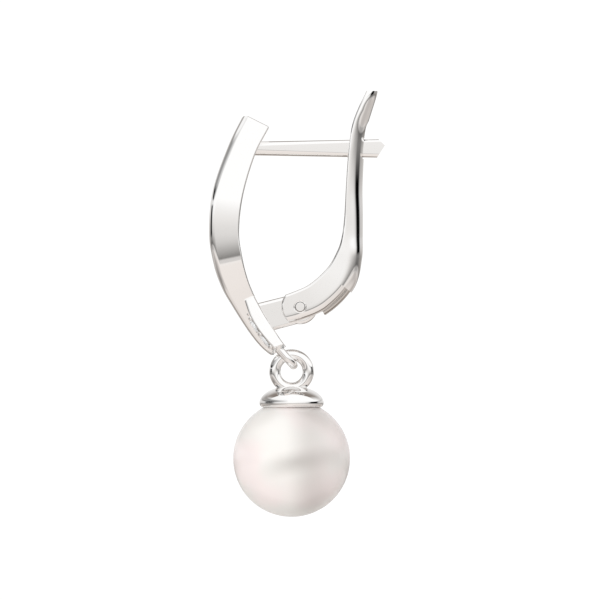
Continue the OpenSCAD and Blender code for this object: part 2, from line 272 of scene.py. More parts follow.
# By the sine of the elevation: where the cards are wide (1), and how bright each is, from black to 1,
# as bright as the wall
CARDS_WIDE = ((-1, 1.0), (-0.3, 1.0), (-0.18, 0.0), (0.12, 0.0), (0.24, 1.0), (1, 1.0))
LEFT_CARD = (
    (-1, 1.0), (-0.62, 0.8), (-0.53, 0.3), (-0.3, 0.45), (-0.2, 0.62), (-0.08, 0.6), (-0.04, 0.0),
    (0.11, 0.0), (0.125, 0.7), (0.155, 0.7), (0.17, 0.0), (0.26, 0.0), (0.31, 0.28), (0.5, 0.28),
    (0.58, 0.9), (1, 1.0),
)
RIGHT_CARD = (
    (-1, 1.0), (-0.5, 0.9), (-0.36, 0.7), (-0.3, 0.6), (-0.2, 0.6), (-0.09, 0.55), (-0.06, 0.32),
    (-0.035, 0.1), (-0.02, 0.0), (0.19, 0.0), (0.23, 0.9), (0.3, 1.0), (1, 1.0),
)
# How much of the room behind the tent shows, by how far back a direction points
ROOM_SEEN = ((0.0, 0.0), (0.04, 0.0), (0.15, 1.0), (0.5, 0.9), (0.8, 0.35), (1.0, 0.2))


def linear(hex_colour):
    """The linear colour of an sRGB hex value."""
    parts = [int(hex_colour[i : i + 2], 16) / 255 for i in (1, 3, 5)]
    parts = [c / 12.92 if c <= 0.04045 else ((c + 0.055) / 1.055) ** 2.4 for c in parts]
    return (*parts, 1.0)


def size(name, description, default, low, high):
    """A property for a size in millimetres."""
    return bpy.props.FloatProperty(
        name=name, description=f"{description}, in mm", default=default, min=low, max=high
    )


def colour(name, description, default):
    """A property for a colour, from its sRGB hex value."""
    return bpy.props.FloatVectorProperty(
        name=name, description=description, subtype="COLOR", size=4, default=linear(default), min=0, max=1
    )


class EarringSizes(bpy.types.PropertyGroup):
    """Sizes that a maker would change, in millimetres."""

    ribbon_width: size("Ribbon width", "Width across the front ribbon", 3.2, 2.5, 3.6)
    lever_width: size("Lever width", "Width of the lever at its hinge", 2.6, 2.4, 2.8)
    post_width: size("Post width", "Width of the post across the ear hole", 0.84, 0.7, 0.9)
    loop_wire: size("Loop wire", "Wire diameter of the hanging loop", 0.54, 0.4, 0.56)
    loop_radius: size("Loop radius", "Radius to the middle of the loop's wire", 0.7, 0.68, 0.8)
    eye_wire: size("Eye wire", "Wire diameter of the cap's eye", 0.72, 0.6, 0.74)
    eye_radius: size("Eye radius", "Radius to the middle of the eye's wire", 1.07, 1.0, 1.1)
    stone_diameter: size("Stone diameter", "Girdle diameter of each cut stone", 0.9, 0.7, 0.95)


class EarringColours(bpy.types.PropertyGroup):
    """Colours that a maker would change."""

    metal: colour("White metal", "Colour of the plated metal", "#FAF9F8")
    spring: colour("Spring", "Colour of the leaf spring", "#D2CDC8")
    stone: colour("Stone", "Colour of the cut stones", "#FDFEFF")
    nacre: colour("Nacre", "Body colour of the pearl", "#F2EFEB")
    overtone: colour("Overtone", "Pink overtone of the pearl", "#F7ECEA")


class StageSettings(bpy.types.PropertyGroup):
    """Floor and camera."""

    floor_height: bpy.props.FloatProperty(
        name="Floor", description="Height of the floor", default=-0.06, unit="LENGTH"
    )
    camera_distance: bpy.props.FloatProperty(
        name="Camera distance", description="From the camera to the earring", default=0.9, unit="LENGTH"
    )


def spline(rows, u):
    """A point on a smooth curve through the rows of a table, at place u counted in rows."""
    last = len(rows) - 1
    i = max(0, min(int(math.floor(u)), last - 1))
    t = u - i
    b, c = rows[i], rows[i + 1]
    a = rows[i - 1] if i > 0 else [2 * p - q for p, q in zip(b, c)]
    d = rows[i + 2] if i < last - 1 else [2 * q - p for p, q in zip(b, c)]
    return [
        (2 * q + (r - p) * t + (2 * p - 5 * q + 4 * r - s) * t * t + (3 * q - p - 3 * r + s) * t**3) / 2
        for p, q, r, s in zip(a, b, c, d)
    ]


def outward(rows, u, side):
    """Unit direction across a table's middle line: side is 1 towards the front, -1 towards the back."""
    before, after = spline(rows, u - 0.01), spline(rows, u + 0.01)
    along = Vector((after[0] - before[0], 0, after[1] - before[1])).normalized()
    return Vector((along.z, 0, -along.x)) * side


def across_line(rows, u, side, profile):
    """A profile of (outward, y) points set across a table's middle line."""
    here = spline(rows, u)
    centre, out = Vector((here[0], 0, here[1])), outward(rows, u, side)
    return [centre + out * p + Vector((0, q, 0)) for p, q in profile]


def arc(centre, radius, start, end, steps):
    """Points on an arc, angles in degrees; a pair of radii makes it an ellipse's."""
    wide, high = radius if isinstance(radius, tuple) else (radius, radius)
    angles = [math.radians(start + (end - start) * k / steps) for k in range(steps + 1)]
    return [(centre[0] + wide * math.cos(a), centre[1] + high * math.sin(a)) for a in angles]


def links(verts):
    """The edges that meet at any of the corners, each once and in a fixed order."""
    return dict.fromkeys(e for v in verts for e in v.link_edges)


def loft(sections):
    """A closed mesh drawn out from its first section through all the others."""
    bm = bmesh.new()
    ring = bmesh.ops.create_circle(bm, segments=len(sections[0]), radius=1)["verts"]
    for vert, point in zip(ring, sections[0]):
        vert.co = point
    ends = [list(ring)]
    for section in sections[1:]:
        old = set(ring)
        edges = [e for e in links(ring) if all(v in old for v in e.verts)]
        made = bmesh.ops.extrude_edge_only(bm, edges=edges)["geom"]
        new = {g for g in made if isinstance(g, bmesh.types.BMVert)}
        ring = [next(e.other_vert(v) for e in v.link_edges if e.other_vert(v) in new) for v in ring]
        for vert, point in zip(ring, section):
            vert.co = point
    ends.append(list(ring))
    for end in ends:
        edges = [e for e in links(end) if all(v in end for v in e.verts)]
        bmesh.ops.contextual_create(bm, geom=edges)
    bmesh.ops.recalc_face_normals(bm, faces=bm.faces)
    return bm


def tube(points, radii):
    """A round bar along points that lie in one plane, with a radius at each point."""
    sections, sides = [], 28
    plane = (points[1] - points[0]).cross(points[-1] - points[0])
    plane.normalize()
    for k, point in enumerate(points):
        along = (points[min(k + 1, len(points) - 1)] - points[max(k - 1, 0)]).normalized()
        across = along.cross(plane)
        sections.append([
            point + (across * math.cos(a) + plane * math.sin(a)) * radii[k]
            for a in (math.tau * s / sides for s in range(sides))
        ])
    return loft(sections)


def spun(profile, centre, axis, steps):
    """A profile of points turned once round an axis."""
    bm = bmesh.new()
    verts = [bm.verts.new(p) for p in profile]
    edges = [bm.edges.new(pair) for pair in zip(verts, verts[1:])]
    bmesh.ops.spin(
        bm, geom=verts + edges, cent=centre, axis=axis, angle=math.tau, steps=steps, use_merge=True
    )
    bmesh.ops.remove_doubles(bm, verts=bm.verts, dist=1e-4)
    bmesh.ops.recalc_face_normals(bm, faces=bm.faces)
    return bm


def plate(outline, half, edge=0.0):
    """A flat plate of an (x, z) outline, centred on y = 0, with its edges rounded if edge is given."""
    bm = bmesh.new()
    face = bm.faces.new([bm.verts.new((x, -half, z)) for x, z in outline])
    made = bmesh.ops.extrude_face_region(bm, geom=[face])["geom"]
    moved = [g for g in made if isinstance(g, bmesh.types.BMVert)]
    bmesh.ops.translate(bm, verts=moved, vec=(0, 2 * half, 0))
    bmesh.ops.recalc_face_normals(bm, faces=bm.faces)
    if edge:
        rims = [e for e in bm.edges if abs(e.verts[0].co.y - e.verts[1].co.y) < 1e-6]
        ease(bm, rims, edge, 4)
    return bm


def ease(bm, edges, width, segments):
    """Rounds edges over."""
    bmesh.ops.bevel(
        bm, geom=edges, offset=width, offset_type="OFFSET", affect="EDGES", segments=segments,
        profile=0.5, material=-1, clamp_overlap=True,
    )


def turn_and_move(bm, angle, axis, place):
    """Turns a mesh about the origin and moves it."""
    bmesh.ops.rotate(bm, verts=bm.verts, matrix=Matrix.Rotation(angle, 3, axis))
    bmesh.ops.translate(bm, verts=bm.verts, vec=place)


def drum(centre, radius, half):
    """A plain round bar along Y, for cutting."""
    bm = bmesh.new()
    bmesh.ops.create_cone(bm, cap_ends=True, segments=64, radius1=radius, radius2=radius, depth=2 * half)
    turn_and_move(bm, math.pi / 2, "X", centre)
    return bm


def block(low, high):
    """A plain block between two corners, for cutting."""
    bm = bmesh.new()
    bmesh.ops.create_cube(bm, size=1)
    low, high = Vector(low), Vector(high)
    bmesh.ops.scale(bm, verts=bm.verts, vec=high - low)
    bmesh.ops.translate(bm, verts=bm.verts, vec=(low + high) / 2)
    return bm


def outside_corner(place, turn, side, radius, steps):
    """What a rounded corner along Y leaves out; side is 1 where the corner points to the turned +X."""
    outline = [(side * x, z) for x, z in arc((-radius, -radius), radius, 0, 90, steps)]
    bm = plate(outline + [(-side * radius, 1), (side, 1), (side, -radius)], CUT_HALF)
    turn_and_move(bm, math.radians(turn), "Y", (place[0], 0, place[1]))
    return bm


def put_in_scene(name, data):
    """A new object that holds a mesh, a lamp or a camera."""
    made = bpy.data.objects.new(name, data)
    bpy.context.scene.collection.objects.link(made)
    return made


def to_object(name, bm):
    """A new object that holds bm, turned to metres."""
    bmesh.ops.scale(bm, verts=bm.verts, vec=(MM, MM, MM))
    mesh = bpy.data.meshes.new(name)
    bm.to_mesh(mesh)
    bm.free()
    return put_in_scene(name, mesh)


def cut_away(target, cutters):
    """Cuts each cutter mesh out of target for good."""
    helpers = []
    for k, bm in enumerate(cutters):
        bmesh.ops.recalc_face_normals(bm, faces=bm.faces)
        helper = to_object(f"{target.name}_cutter_{k}", bm)
        helpers.append(helper)
        modifier = target.modifiers.new(helper.name, "BOOLEAN")
        modifier.operation = "DIFFERENCE"
        modifier.solver = "EXACT"
        modifier.object = helper
    graph = bpy.context.evaluated_depsgraph_get()
    cut = bpy.data.meshes.new_from_object(target.evaluated_get(graph))
    target.modifiers.clear()
    target.data = cut
    for helper in helpers:
        bpy.data.objects.remove(helper)


def shade(mesh, sharp):
    """Smooths all edges below an angle, while large flat faces keep their own reflections."""
    bm = bmesh.new()
    bm.from_mesh(mesh)
    bm.faces.ensure_lookup_table()
    weights = [(face.calc_area() / MM**2) ** 2 for face in bm.faces]
    limit = math.cos(math.radians(sharp))
    normals = []
    for face in bm.faces:
        for loop in face.loops:
            total = Vector()
            for other in loop.vert.link_faces:
                if other.normal.dot(face.normal) > limit:
                    total += other.normal * weights[other.index]
            normals.append(total.normalized() if total.length else face.normal.copy())
    bm.free()
    for polygon in mesh.polygons:
        polygon.use_smooth = True
    mesh.normals_split_custom_set(normals)


def add(tree, kind, values=None, stops=(), **settings):
    """Adds a node, with its settings, a value or a link for each input, and a colour ramp's stops."""
    node = tree.nodes.new(kind)
    for key, value in settings.items():
        setattr(node, key, value)
    for key, value in (values or {}).items():
        if isinstance(value, bpy.types.NodeSocket):
            tree.links.new(value, node.inputs[key])
        else:
            node.inputs[key].default_value = value
    if stops:
        elements = node.color_ramp.elements
        while len(elements) < len(stops):
            elements.new(1.0)
        for element, (position, tone) in zip(elements, stops):
            element.position = position
            element.color = tone
    return node


def greys(stops):
    """Ramp stops in plain greys, from (position, brightness) pairs."""
    return [(position, (grey, grey, grey, 1)) for position, grey in stops]


def by_sine(stops):
    """Stops along a ramp from 0 to 1, from ones given by the sine of the elevation."""
    return [((1 + sine) / 2, value) for sine, value in stops]


def relief(tree, place, scale, detail, strength, distance):
    """A normal with fine relief from noise, with its scale per metre and its depth in metres."""
    noise = add(tree, "ShaderNodeTexNoise", {"Vector": place, "Scale": scale, "Detail": detail})
    return add(
        tree, "ShaderNodeBump",
        {"Height": noise.outputs["Fac"], "Strength": strength, "Distance": distance},
    ).outputs["Normal"]


def uneven(tree, place, scale, detail, spread, low, high):
    """A value from low to high that noise varies over its spread, with its scale per metre."""
    noise = add(tree, "ShaderNodeTexNoise", {"Vector": place, "Scale": scale, "Detail": detail})
    return add(
        tree, "ShaderNodeMapRange",
        {"Value": noise.outputs["Fac"], "From Min": spread[0], "From Max": spread[1], "To Min": low,
         "To Max": high},
    ).outputs["Result"]


def plated_metal(tree, place, colours):
    """Rhodium-plated silver, cast and polished on a buffing wheel: a bright white mirror."""
    # Fine handling marks of about 0.1 mm dull the polish a little
    dull = uneven(tree, place, 9000.0, 3.0, (0.35, 0.7), 0.03, 0.06)
    # Buffing leaves soft waves a millimetre or so long, far too low to feel
    waves = relief(tree, place, 900.0, 1.0, 0.02, 0.00002)
    return add(
        tree, "ShaderNodeBsdfPrincipled",
        {"Base Color": colours.metal[:], "Metallic": 1.0, "Roughness": dull, "Normal": waves},
    )


def spring_metal(tree, place, colours):
    """Rolled spring strip, tumbled bright: greyer than the plating, with fine lines from the rolls."""
    # Roll lines run along the leaf: 0.03 mm apart across it, long the other way
    lines = add(tree, "ShaderNodeMapping", {"Vector": place, "Scale": (600.0, 30000.0, 600.0)}).outputs[0]
    dull = uneven(tree, lines, 1.0, 2.0, (0.3, 0.7), 0.12, 0.2)
    ridges = relief(tree, lines, 1.0, 2.0, 0.05, 0.00001)
    return add(
        tree, "ShaderNodeBsdfPrincipled",
        {"Base Color": colours.spring[:], "Metallic": 1.0, "Roughness": dull, "Normal": ridges},
    )


def cut_stone(tree, place, colours):
    """Colourless brilliant-cut stone: highly refractive, its facets throw back light and dark."""
    # Polishing marks on the facets, too fine to see one by one
    dull = uneven(tree, place, 20000.0, 1.0, (0.3, 0.7), 0.0, 0.02)
    return add(
        tree, "ShaderNodeBsdfPrincipled",
        {"Base Color": colours.stone[:], "Roughness": dull, "IOR": 2.16, "Transmission Weight": 0.2},
    )


def nacre(tree, place, colours):
    """Cultured pearl: thousands of thin nacre layers give a soft deep gloss and a pink overtone; a grey
    band and a grey patch on it are painted reflection and painted shade.
    """
    # The overtone shifts over patches 3 to 4 mm across
    patches = add(
        tree, "ShaderNodeTexNoise", {"Vector": place, "Scale": 260.0, "Detail": 1.0, "Roughness": 0.4}
    )
    amount = add(
        tree, "ShaderNodeMapRange",
        {"Value": patches.outputs["Fac"], "From Min": 0.38, "From Max": 0.62, "To Min": 0.0, "To Max": 1.0},
        interpolation_type="SMOOTHSTEP",
    )
    tone = add(
        tree, "ShaderNodeMix",
        {0: amount.outputs["Result"], 6: colours.nacre[:], 7: colours.overtone[:]},
        data_type="RGBA",
    ).outputs[2]
    centre = (PEARL_BOX[0] + PEARL_BOX[1]) / 2 * MM

    def near_plane(normal, away, reach):
        """1 on a plane that lies away from the pearl's middle, falling softly to 0 at its reach, in mm."""
        level = add(tree, "ShaderNodeVectorMath", {0: place, 1: normal}, operation="DOT_PRODUCT")
        level = add(
            tree, "ShaderNodeMath", {0: level.outputs["Value"], 1: normal.dot(centre) + away * MM},
            operation="SUBTRACT",
        )
        level = add(tree, "ShaderNodeMath", {0: level.outputs[0]}, operation="ABSOLUTE")
        return add(
            tree, "ShaderNodeMapRange",
            {"Value": level.outputs[0], "From Min": 0.0, "From Max": reach * MM, "To Min": 1.0,
             "To Max": 0.0},
            interpolation_type="SMOOTHSTEP",
        ).outputs["Result"]

    # A nearly level grey band of painted reflection, standing for the dark horizon that the gloss would
    # show, lies just below the middle and fades to both sides
    painted_reflection_band = add(
        tree, "ShaderNodeMath",
        {0: near_plane(Vector((-0.2, 0, 0.98)), -0.24, 1.0), 1: near_plane(Vector((1, 0, 0)), 0.4, 2.9)},
        operation="MULTIPLY",
    ).outputs[0]
    # A broader, paler patch of painted shade, standing for the side turned away from the lamps, lies right
    # of the middle
    painted_shade_patch = near_plane(Vector((1, 0, 0.05)), 1.15, 1.7)
    # Both marks are painted: each one mixes the body colour towards the grey #B4AFAA, as far as its depth
    for value, depth in ((painted_reflection_band, 0.55), (painted_shade_patch, 0.38)):
        value = add(tree, "ShaderNodeMath", {0: value, 1: depth}, operation="MULTIPLY")
        tone = add(
            tree, "ShaderNodeMix", {0: value.outputs[0], 6: tone, 7: linear("#B4AFAA")}, data_type="RGBA"
        ).outputs[2]
    # Growth leaves waves over a millimetre across that blur what the gloss reflects
    return add(
        tree, "ShaderNodeBsdfPrincipled",
        {"Base Color": tone, "Roughness": 0.3, "IOR": 1.6, "Subsurface Weight": 0.15,
         "Subsurface Radius": (1.0, 0.9, 0.85), "Subsurface Scale": 0.0006, "Coat Weight": 0.6,
         "Coat Roughness": 0.13, "Coat IOR": 1.6,
         "Normal": relief(tree, place, 700.0, 2.0, 0.06, 0.00008)},
    )


def white_card(tree, place, colours):
    """Matt white card with a faint tooth, a few millimetres across so that it shows."""
    return add(
        tree, "ShaderNodeBsdfPrincipled",
        {"Base Color": linear("#FAFAF9"), "Roughness": 0.9,
         "Normal": relief(tree, place, 300.0, 2.0, 0.02, 0.0005)},
    )


# The material of each of the record's slots, and what makes its shader from a place in the piece
FINISHES = {
    "white_metal": ("rhodium_plated_silver_polished", plated_metal),
    "spring_metal": ("rolled_spring_strip_tumbled", spring_metal),
    "cut_stone": ("brilliant_cut_stone_clear", cut_stone),
    "nacre": ("cultured_pearl_nacre", nacre),
}


def material_named(name, make_shader):
    """The material of this name, made the first time that a piece asks for it."""
    material = bpy.data.materials.get(name)
    if material is None:
        material = bpy.data.materials.new(name)
        material.use_nodes = True
        tree = material.node_tree
        tree.nodes.clear()
        place = add(tree, "ShaderNodeTexCoord").outputs["Object"]
        shader = make_shader(tree, place, bpy.context.scene.earring_colours)
        add(tree, "ShaderNodeOutputMaterial", {"Surface": shader.outputs["BSDF"]})
    return material


def finish_piece(obj, body, node, slot, sharp=34):
    """Smooths a piece, gives it its slot's finish and fixes it to its body in place of its CAD node."""
    shade(obj.data, sharp)
    obj.data.materials.clear()
    obj.data.materials.append(material_named(*FINISHES[slot]))
    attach(obj, body)
    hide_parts(node)
    if len(obj.data.polygons) == 0:
        raise RuntimeError(f"{obj.name} has no faces")


class BuildFront(bpy.types.Operator):
    """Build the rounded ribbon of the front."""

    bl_idname = "earring.build_front"
    bl_label = "Front ribbon"

    def execute(self, context):
        half = context.scene.earring_sizes.ribbon_width / 2

        def section(u, inset=0.0):
            """The ribbon's section; its front is nearly flat between two rounded edges."""
            s = spline(RIBBON, u)
            t, near, far = s[2] - 2 * inset, s[3] * half + inset, s[4] * half - inset
            r, e = s[5] - inset, RIBBON_EDGE - inset
            crown = (far - near - 2 * r) / 2 * math.tan(RIBBON_CROWN)
            top = t / 2 - crown
            face = [
                (top + crown * math.sin(math.pi * i / 12), near + r + (far - near - 2 * r) * i / 12)
                for i in range(1, 12)
            ]
            profile = (
                arc((-t / 2 + e, near + e), e, 180, 270, 4)
                + arc((top - r, near + r), r, 270, 360, 14)
                + face
                + arc((top - r, far - r), r, 0, 90, 14)
                + arc((-t / 2 + e, far - e), e, 90, 180, 4)
            )
            return across_line(RIBBON, u, 1, profile)

        # The top end's edge is rounded over in short steps
        first_row = math.dist(RIBBON[0][:2], RIBBON[1][:2])
        sections = []
        for a in (90, 65, 40, 20, 0):
            inset = RIBBON_END_EDGE * (1 - math.cos(math.radians(a)))
            along = RIBBON_END_EDGE * (1 - math.sin(math.radians(a)))
            sections.append(section(along / first_row, inset))
        steps = 96
        sections += [section((len(RIBBON) - 1) * k / steps) for k in range(1, steps + 1)]
        ribbon = to_object("front_ribbon", loft(sections))
        cut_away(ribbon, [outside_corner(*corner, 16) for corner in RIBBON_CORNERS])
        finish_piece(ribbon, "front", "shank", "white_metal")
        return {"FINISHED"}


class BuildStoneLimb(bpy.types.Operator):
    """Build the near limb with its stones and setting beads."""

    bl_idname = "earring.build_stone_limb"
    bl_label = "Stone-set limb"

    def execute(self, context):
        diameter = context.scene.earring_sizes.stone_diameter
        limb = to_object("stone_limb", self.blank())
        seats = []
        for k in (1, 2):
            place = self.on_face(k, diameter, 0)
            seats.append(self.seat(diameter, place))
            stone = to_object(f"cut_stone_{k}", self.brilliant(diameter, place))
            finish_piece(stone, "front", f"stone_{k}", "cut_stone", sharp=1)
        cut_away(limb, seats)
        finish_piece(limb, "front", "shank", "white_metal")
        beads = bmesh.new()
        for k, side in BEADS:
            made = bmesh.ops.create_icosphere(beads, subdivisions=4, radius=BEAD_R)["verts"]
            bmesh.ops.transform(beads, matrix=self.on_face(k, diameter, side), verts=made)
        finish_piece(to_object("setting_beads", beads), "front", "shank", "white_metal")
        return {"FINISHED"}

    def section(self, u, far, inset=0.0):
        """The limb's section, whose outer face leans to the near side."""
        s = spline(LIMB, u)
        t, near, far, e = s[2] - 2 * inset, s[3] + inset, far - inset, LIMB_EDGE - inset
        b = e + LIMB_INNER_MORE
        profile = (
            arc((-t / 2 + b, near + b), b, 180, 270, 6)
            + arc((t / 2 - e, near + e), e, 270, 360, 5)
            + [(t / 2 + (far - near) * math.tan(STONE_TILT), far), (-t / 2, far)]
        )
        return across_line(LIMB, u, 1, profile)

    def blank(self):
        """The limb without its seats, ended by its slanting plane."""
        lean = Matrix.Rotation(LIMB_END_TURN, 3, "Y") @ Matrix.Rotation(-LIMB_END_LEAN, 3, "X")
        facing = lean @ Vector((0, 0, 1))
        steps = 60
        last = len(LIMB) - 1
        places = [last * k / steps for k in range(steps + 1)]
        sections = [self.section(u, spline(LIMB, u)[4]) for u in places]
        sections = [
            ring for ring in sections
            if min((point - LIMB_END).dot(facing) for point in ring) > LIMB_END_CLEAR
        ]
        # The end's edge is rounded in three short steps onto the plane that ends the limb
        out = outward(LIMB, last, 1)
        along = Vector((-out.z, 0, out.x))
        for a in (0, 30, 60, 90):
            inset = LIMB_TIP_EDGE * (1 - math.cos(math.radians(a)))
            plane = LIMB_END + facing * (LIMB_TIP_EDGE * (1 - math.sin(math.radians(a))))
            sections.append([
                point + along * ((plane - point).dot(facing) / along.dot(facing))
                for point in self.section(last, LIMB_END_FAR, inset)
            ])
        return loft(sections)

    def on_face(self, k, diameter, side):
        """Where a place on the stones' face lies, as a matrix whose +Z is the face's normal."""
        u = FIRST_STONE + (k - 1) * (STONE_PITCH / LIMB_ROW)
        from_near = diameter / 2 + STONE_MARGIN + side
        s = spline(LIMB, u)
        out = outward(LIMB, u, 1)
        lift = s[2] / 2 + from_near * math.sin(STONE_TILT)
        centre = Vector((s[0], s[3] + from_near * math.cos(STONE_TILT), s[1])) + out * lift
        turn = Matrix.Rotation(math.atan2(out.x, out.z), 4, "Y") @ Matrix.Rotation(STONE_TILT, 4, "X")
        return Matrix.Translation(centre) @ turn

    def seat(self, diameter, place):
        """The hole that a stone sits in, for cutting: a cone below and a round opening above."""
        wide = diameter / 2 + STONE_GAP
        low = -2 * STONE_GAP
        rings = ((SEAT_BOTTOM_R, low - SEAT_DEPTH * diameter), (wide, low), (wide, SEAT_TOP))
        bm = loft([
            [Vector((r * math.cos(t), r * math.sin(t), h)) for t in (math.tau * i / 48 for i in range(48))]
            for r, h in rings
        ])
        bmesh.ops.transform(bm, matrix=place, verts=bm.verts)
        return bm

    def brilliant(self, diameter, place):
        """A round brilliant: table, kite and girdle facets above, pavilion facets below."""
        bm = bmesh.new()
        for count, radius, height, turn in STONE_RINGS:
            made = bmesh.ops.create_circle(bm, segments=count, radius=radius * diameter)["verts"]
            bmesh.ops.rotate(bm, verts=made, matrix=Matrix.Rotation(math.tau * turn / count, 3, "Z"))
            bmesh.ops.translate(bm, verts=made, vec=(0, 0, height * diameter))
        hull = bmesh.ops.convex_hull(bm, input=bm.verts)
        loose = {g for g in hull["geom_interior"] + hull["geom_unused"] if g.is_valid}
        bmesh.ops.delete(bm, geom=[g for g in loose if isinstance(g, bmesh.types.BMVert)], context="VERTS")
        bmesh.ops.delete(bm, geom=[e for e in bm.edges if not e.link_faces], context="EDGES")
        bmesh.ops.dissolve_limit(bm, angle_limit=0.01, verts=bm.verts, edges=bm.edges)
        bmesh.ops.recalc_face_normals(bm, faces=bm.faces)
        bmesh.ops.transform(bm, matrix=place, verts=bm.verts)
        return bm


class BuildPost(bpy.types.Operator):
    """Build the post with its wedge point."""

    bl_idname = "earring.build_post"
    bl_label = "Post"

    def execute(self, context):
        half = context.scene.earring_sizes.post_width / 2

        def section(x, height, r):
            """A rounded rectangle across the post, rounder below."""
            low = min(POST_LOWER * r, half - POST_FLAT / 2)
            corners = ((1, 1, r, 0), (-1, 1, r, 90), (-1, -1, low, 180), (1, -1, low, 270))
            return [
                Vector((x, y, z))
                for right, up, radius, start in corners
                for y, z in arc(
                    (right * (half - radius), up * (height / 2 - radius)), radius, start, start + 90, 8,
                )
            ]

        post = loft([section(*POST_ROOT), section(*POST_END)])
        point_x, end_half = POST_END[0], POST_END[1] / 2
        for up, length in POST_SLOPES:
            made = bmesh.ops.bisect_plane(
                post, geom=post.verts[:] + post.edges[:] + post.faces[:],
                plane_co=(point_x - length, 0, up * end_half),
                plane_no=(end_half - up * POST_POINT_Z, 0, up * length), clear_outer=True,
            )["geom_cut"]
            bmesh.ops.contextual_create(post, geom=[g for g in made if isinstance(g, bmesh.types.BMEdge)])
        bmesh.ops.recalc_face_normals(post, faces=post.faces)
        edges = [e for e in post.edges if len(e.link_faces) == 2 and e.calc_face_angle() > math.radians(20)]
        ease(post, edges, POST_EASE, 3)
        finish_piece(to_object("ear_post", post), "front", "shank", "white_metal")
        return {"FINISHED"}


class BuildTongueAndLoop(bpy.types.Operator):
    """Build the fixed hinge tongue and the hanging loop."""

    bl_idname = "earring.build_tongue_and_loop"
    bl_label = "Hinge tongue and loop"

    def execute(self, context):
        sizes = context.scene.earring_sizes
        top_x, top_z = TONGUE[-1]
        top = math.degrees(math.atan2(top_z - PIN.z, top_x - PIN.x))
        cam = arc((PIN.x, PIN.z), CAM_R, top, CAM_END, 30)
        tongue = plate(TONGUE[:-1] + cam + TONGUE_FOOT, TONGUE_HALF, TONGUE_EDGE)
        finish_piece(to_object("hinge_tongue", tongue), "front", "shank", "white_metal")
        loop = self.loop(sizes.loop_radius, sizes.loop_wire / 2)
        finish_piece(to_object("hanging_loop", loop), "front", "shank", "white_metal")
        return {"FINISHED"}

    def loop(self, radius, wire):
        """Half a ring of wire below two legs that widen where they join the front."""
        down = Vector((math.cos(LOOP_LEAN), 0, -math.sin(LOOP_LEAN)))
        side = Vector((0, 1, 0))
        centre = CROSSBAR - down * radius
        angles = [math.pi * k / 40 for k in range(1, 40)]
        # Each leg from the ring up, as pairs of height and radius of the wire
        leg = [(LOOP_LEG * k / 6, wire * (1 + LOOP_FLARE * (k / 6) ** 2)) for k in range(7)]
        path = [centre - down * height - side * radius for height, _ in reversed(leg)]
        path += [centre + down * math.sin(a) * radius - side * math.cos(a) * radius for a in angles]
        path += [centre - down * height + side * radius for height, _ in leg]
        flared = [thick for _, thick in leg]
        return tube(path, flared[::-1] + [wire] * len(angles) + flared)


